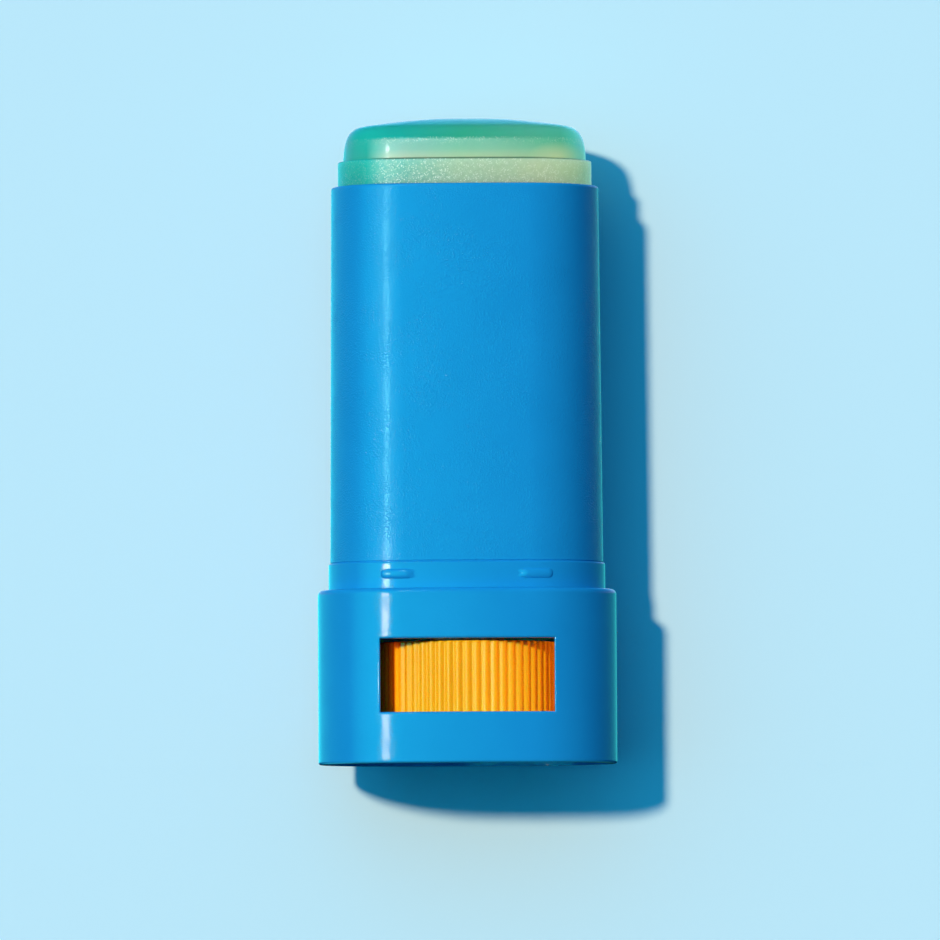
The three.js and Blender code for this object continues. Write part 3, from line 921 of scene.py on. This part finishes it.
def make_balm():
    """The stick of balm: a foot in its cup, a bore for the screw, a band, a step and a shallow dome."""
    angles = all_round([(0, balm_end_columns), (QUARTER - face_turn, balm_face_columns), (QUARTER, 0)])
    crown_bottom = dome_top - dome_crown_rise
    foot_top = cup_top + slide_gap
    socket_top = nut_top + slide_gap
    outline = [(balm_foot_half, balm_bottom), (balm_foot_half, foot_top), (band_half, foot_top)]
    outline += upper_edge(band_half, band_top, band_rounding)
    dome_foot_half, dome_foot_z = dome_half + dome_foot_rounding, band_top + dome_foot_rounding
    outline += quarter_round(dome_foot_half, dome_foot_z, dome_foot_rounding, -QUARTER, -math.pi)
    side_half, side_z = outline[-1]
    side_pull = (side_half - dome_side_pull[0], side_z + dome_side_pull[1])

    def shoulder_row(share):
        """A row up the dome's side, which runs into the crown at the crown's own slope all round."""
        row = []
        for angle in angles:
            edge_x, edge_y = oval_point(angle, dome_crown_half)
            crown_slope = 2 * dome_crown_rise / (edge_x * math.cos(angle) + edge_y * math.sin(angle))
            pull_z = crown_bottom - crown_slope * dome_crown_pull
            crown_pull = (dome_crown_half + dome_crown_pull, pull_z)
            corners = ((side_half, side_z), side_pull, crown_pull, (dome_crown_half, crown_bottom))
            half, z = bezier(corners, share)
            row.append((*oval_point(angle, half), z))
        return row

    rows = [round_row(balm_bore, z, angles) for z in (balm_bore_top, socket_top)]
    rows += [round_row(socket_radius, z, angles) for z in (socket_top, balm_bottom)]
    rows += [oval_row(half, z, angles) for half, z in held(outline)]
    rows += [shoulder_row(step / shoulder_steps) for step in range(1, shoulder_steps + 1)]
    for step in range(1, crown_steps):
        shrink = 1 - step / crown_steps
        rows.append(oval_row(dome_crown_half, dome_top - dome_crown_rise * shrink**2, angles, shrink))
    points, faces = skin(rows, closed=False)
    points, faces = capped(points, faces, len(angles), balm_bore_top, dome_top)
    return piece("balm_stick", points, faces, gel)


# The pieces, on their bodies

def settle(made, body, node):
    """Seats a piece on a body, in place of a node, which it hides."""
    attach(made, body)
    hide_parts(node)
    return made


barrel = settle(make_barrel(), "housing", "barrel")
base = settle(make_base(), "housing", "base_shell")
lid = settle(make_lid(), "housing", "base_plate")
wheel = settle(make_wheel(), "drive", "thumbwheel")
balm = settle(make_balm(), "lift", "balm")

inner_finishes = {
    "spindle_o_ring": black,
    "spindle_clip": steel,
    "thrust_washer": white,
    "lead_screw": white,
    "carrier": white,
    "lift_nut": white,
    "carrier_wiper": silicone,
}
for node, finish in inner_finishes.items():
    frame["nodes"][node].data.materials.clear()
    frame["nodes"][node].data.materials.append(finish)


# Stage: a pale wall close behind and a pale floor, which show only from the object's side

pale_blue = (0.485, 0.815, 0.99)
half_stage = 1.5
wall_y = base_depth + 0.3 * MM
floor_z = base_bottom - 0.03 * MM
wall_glow, floor_glow = 0.0, 0.3


def stage_finish(name, glow):
    """A pale surface that is clear from behind. Some of its own colour is added for the camera."""
    finish = bpy.data.materials.new(name)
    finish.use_nodes = True
    tree = finish.node_tree
    tree.nodes.remove(tree.nodes["Principled BSDF"])
    seen_by = tree.nodes.new("ShaderNodeLightPath").outputs
    paint = tree.nodes.new("ShaderNodeBsdfDiffuse")
    feed(tree, paint.inputs["Color"], pale_blue)
    light = tree.nodes.new("ShaderNodeEmission")
    feed(tree, light.inputs["Color"], pale_blue)
    feed(tree, light.inputs["Strength"], product(tree, seen_by["Is Camera Ray"], glow))
    front = tree.nodes.new("ShaderNodeAddShader")
    tree.links.new(paint.outputs[0], front.inputs[0])
    tree.links.new(light.outputs[0], front.inputs[1])
    clear = tree.nodes.new("ShaderNodeBsdfTransparent")
    side = tree.nodes.new("ShaderNodeMixShader")
    facing = tree.nodes.new("ShaderNodeNewGeometry")
    tree.links.new(facing.outputs["Backfacing"], side.inputs[0])
    tree.links.new(front.outputs[0], side.inputs[1])
    tree.links.new(clear.outputs[0], side.inputs[2])
    tree.links.new(side.outputs[0], tree.nodes["Material Output"].inputs["Surface"])
    return finish


def stage_sheet(name, corners, finish):
    """A flat sheet that takes the object's shadow, and casts no shadow, light or reflection itself."""
    mesh = bpy.data.meshes.new(name)
    mesh.from_pydata(corners, [], [[0, 1, 2, 3]])
    mesh.materials.append(finish)
    sheet = bpy.data.objects.new(name, mesh)
    bpy.context.scene.collection.objects.link(sheet)
    sheet.visible_shadow = False
    sheet.visible_diffuse = False
    sheet.visible_glossy = False


stage_sheet("wall", [
    (-half_stage, wall_y, -half_stage),
    (half_stage, wall_y, -half_stage),
    (half_stage, wall_y, half_stage),
    (-half_stage, wall_y, half_stage),
], stage_finish("wall_paint", wall_glow))
stage_sheet("floor", [
    (-half_stage, -half_stage, floor_z),
    (half_stage, -half_stage, floor_z),
    (half_stage, half_stage, floor_z),
    (-half_stage, half_stage, floor_z),
], stage_finish("floor_paint", floor_glow))


# Light

def hang(light, direction):
    """Puts a light in the scene, turned so that it shines from a direction, as seen from the object."""
    lamp = bpy.data.objects.new(light.name, light)
    bpy.context.scene.collection.objects.link(lamp)
    lamp.rotation_mode = "QUATERNION"
    lamp.rotation_quaternion = Vector(direction).to_track_quat("Z", "Y")
    return lamp


def sun(name, direction, strength, angle, colour=(1, 1, 1)):
    """A far lamp, whose disc spans an angle in degrees."""
    light = bpy.data.lights.new(name, "SUN")
    light.energy = strength
    light.angle = math.radians(angle)
    light.color = colour
    return hang(light, direction)


def panel(name, place, direction, size, power, colour, beam=math.pi):
    """A small lamp close by, of a width and a height, whose light spreads over an angle."""
    light = bpy.data.lights.new(name, "AREA")
    light.shape = "RECTANGLE"
    light.size, light.size_y = size
    light.spread = beam
    light.energy = power
    light.color = colour
    lamp = hang(light, direction)
    lamp.location = place
    lamp.visible_camera = False
    return lamp


# Light that falls on the surfaces. The wheel has a less red key of its own
key_direction = (-0.435, -1.0, 0.275)
key_strength, key_angle = 3.47, 4.5
key = sun("key", key_direction, key_strength, key_angle, (1.0, 0.67, 0.45))
wheel_key = sun("wheel_key", key_direction, key_strength, key_angle, (1.0, 0.84, 0.45))
soft = sun("soft", (-0.5, -1.0, 0.3), 1.0, 80.0, (0.03, 0.66, 1.0))
back_fill = sun("back_fill", (0.33, 1.0, 0.3), 3.0, 30.0, (1.0, 0.80, 0.68))
back_fill.data.cycles.max_bounces = 0

# Highlights
gleam = sun("gleam", (-0.70, -1.0, 0.05), 0.6, 7.0, (0.33, 1.0, 0.9))
balm_gleam = sun("balm_gleam", (-0.72, -1.0, 0.05), 0.7, 8.0, (1.0, 0.8, 0.85))
base_gleam = sun("base_gleam", (-0.65, -1.0, 0.05), 0.66, 8.5, (1.0, 0.82, 0.6))
collar_turn = math.radians(18)
collar_x, collar_y = oval_point(-QUARTER - collar_turn, collar_half)
collar_spot = Vector((collar_x, collar_y, (base_top + collar_top) / 2 + 0.4 * MM))
collar_beam = Vector((-math.sin(2 * collar_turn), -math.cos(2 * collar_turn), 0.035))
collar_gleam = panel(
    "collar_gleam",
    place=collar_spot + 60 * MM * collar_beam,
    direction=collar_beam,
    size=(11 * MM, 3.4 * MM),
    power=0.0001,
    colour=(1.0, 0.4, 0.1),
    beam=math.radians(24),
)
spark = sun("spark", (-0.85, -1.0, 0.38), 0.5, 1.0)
top_gleam = sun("top_gleam", (-0.2, -0.8, 0.62), 0.6, 8.0, (0.4, 0.9, 1.0))

# Light that soaks through the wheel and the balm and brightens their shaded ends
wheel_soak = sun("wheel_soak", (1.0, 0.0, 0.0), 2.8, 40.0, (1.0, 0.33, 0.08))
glow_turn = math.radians(52)
glow_side = Vector((-math.sin(glow_turn), -math.cos(glow_turn), 0))
wheel_glow = panel(
    "wheel_glow",
    place=(wheel_radius + 0.8 * MM) * glow_side + Vector((0, 0, window_middle)),
    direction=glow_side,
    size=(0.6 * MM, 8.5 * MM),
    power=0.000024,
    colour=(1.0, 0.1, 0.02),
)
balm_soak = sun("balm_soak", (1.0, 0.0, 0.1), 1.6, 60.0, (0.7, 1.0, 0.68))

for lamp in (key, wheel_key, soft, back_fill, wheel_soak, wheel_glow, balm_soak):
    lamp.visible_glossy = False
for lamp in (gleam, balm_gleam, base_gleam, collar_gleam, spark, top_gleam):
    lamp.visible_diffuse = False
for lamp in (wheel_glow, balm_soak):
    lamp.data.use_shadow = False

# The wheel's own ribs are all that shades the light that soaks into it
ribs_only = bpy.data.collections.new("wheel_blockers")
ribs_only.objects.link(wheel)
wheel_soak.light_linking.blocker_collection = ribs_only

# The pieces that a lamp lights alone, or leaves out
linked = (
    (wheel_soak, "INCLUDE", [wheel]),
    (wheel_glow, "INCLUDE", [wheel]),
    (wheel_key, "INCLUDE", [wheel]),
    (key, "EXCLUDE", [wheel]),
    (collar_gleam, "INCLUDE", [barrel]),
    (balm_soak, "INCLUDE", [balm]),
    (base_gleam, "INCLUDE", [base]),
    (balm_gleam, "INCLUDE", [balm]),
    (gleam, "EXCLUDE", [base, balm]),
    (soft, "EXCLUDE", [wheel, lid]),
)
for lamp, state, pieces in linked:
    receivers = bpy.data.collections.new(lamp.name + "_receivers")
    for made in pieces:
        receivers.objects.link(made)
    for receiver in receivers.collection_objects:
        receiver.light_linking.link_state = state
    lamp.light_linking.receiver_collection = receivers


# Surroundings: a sky that lights the object, and a room that only its gloss shows

sky = (0.016, 0.155, 0.265)
sky_lean = (0.0, -0.5, 0.85)
sky_behind, sky_in_front = 0.0, 1.85
front_room = (0.01, 0.10, 0.10)
lit_wall = (0.10, 1.7, 2.0)
high_wall = (0.42, 0.74, 1.25)
higher_wall = (0.06, 0.62, 1.30)
shaded_wall = (0.06, 0.80, 0.75)
own_shadow = (0.0, 0.013, 0.05)
back_lean = (0.0, 0.9, -0.6)
soft_box = (0.25, 8.5, 7.6)
soft_box_place = Vector((-0.75, -1.0, 0.1)).normalized()

# Where a ray's heading passes from one part of the surroundings to the next
sky_fade = (-0.35, 0.6)
ground_fade = (-0.25, 0.02)
lit_side_fade = (0.1, -0.1)
behind_fade = (0.0, 0.55)
soft_box_fade = (0.7, 1.0)
shadow_top_fade = (0.005, -0.008)
shadow_bottom_fade = (-0.5, -0.2)
high_fade = (0.06, 0.16)
higher_fade = (0.2, 0.45)

world = bpy.data.worlds.new("surroundings")
bpy.context.scene.world = world
world.use_nodes = True
world_tree = world.node_tree
heading = world_tree.nodes.new("ShaderNodeTexCoord").outputs["Generated"]
sideward, _, upward = axes_of(world_tree, heading)


def heading_to(place):
    """How much a ray heads towards a place: its dot product with it."""
    lean = world_tree.nodes.new("ShaderNodeVectorMath")
    lean.operation = "DOT_PRODUCT"
    lean.inputs[1].default_value = place
    world_tree.links.new(heading, lean.inputs[0])
    return lean.outputs["Value"]


def fade(value, span):
    """A share that rises as a value passes through a span."""
    return spread(world_tree, value, *span)


ambient = world_tree.nodes["Background"]
feed(world_tree, ambient.inputs["Color"], sky)
sky_strength = spread(world_tree, heading_to(sky_lean), *sky_fade, sky_behind, sky_in_front)
ambient_strength = product(world_tree, sky_strength, fade(upward, ground_fade))
world_tree.links.new(ambient_strength, ambient.inputs["Strength"])

low_wall = mixed(world_tree, fade(sideward, lit_side_fade), shaded_wall, lit_wall)
wall_above = mixed(world_tree, fade(upward, higher_fade), high_wall, higher_wall)
wall_behind = mixed(world_tree, fade(upward, high_fade), low_wall, wall_above)
below = product(world_tree, fade(upward, shadow_top_fade), fade(upward, shadow_bottom_fade))
wall_behind = mixed(world_tree, below, wall_behind, own_shadow)
room = mixed(world_tree, fade(heading_to(back_lean), behind_fade), front_room, wall_behind)
room = mixed(world_tree, fade(heading_to(soft_box_place), soft_box_fade), room, soft_box)

ray = world_tree.nodes.new("ShaderNodeLightPath").outputs
seen = world_tree.nodes.new("ShaderNodeBackground")
feed(world_tree, seen.inputs["Color"], mixed(world_tree, ray["Is Glossy Ray"], pale_blue, room))
direct = ray["Is Camera Ray"]
for kind in ("Is Glossy Ray", "Is Transmission Ray"):
    direct = math_node(world_tree, "MAXIMUM", direct, ray[kind])
both = world_tree.nodes.new("ShaderNodeMixShader")
world_tree.links.new(direct, both.inputs[0])
world_tree.links.new(ambient.outputs[0], both.inputs[1])
world_tree.links.new(seen.outputs[0], both.inputs[2])
world_tree.links.new(both.outputs[0], world_tree.nodes["World Output"].inputs["Surface"])


# Camera: in front and a little below, as the photograph was taken

picture_width = 940
camera_distance = 1700 * MM
camera_elevation = math.radians(-2.41)
camera_target = Vector((0, 0, 35.51 * MM))
pixels_per_metre = 8288
axis_left_of_middle = 3.7
camera_roll = math.radians(0.33)

view = bpy.data.cameras.new("front_view")
view.sensor_width = 36
view.lens = view.sensor_width * camera_distance * pixels_per_metre / picture_width
view.shift_x = axis_left_of_middle / picture_width
view.clip_end = 10
camera = bpy.data.objects.new("front_view", view)
bpy.context.scene.collection.objects.link(camera)
towards_camera = Vector((0, -math.cos(camera_elevation), math.sin(camera_elevation)))
camera.location = camera_target + towards_camera * camera_distance
camera.rotation_euler = towards_camera.to_track_quat("Z", "Y").to_euler()
camera.rotation_euler.rotate_axis("Z", -camera_roll)
bpy.context.scene.camera = camera

bpy.context.scene.view_settings.view_transform = "Standard"
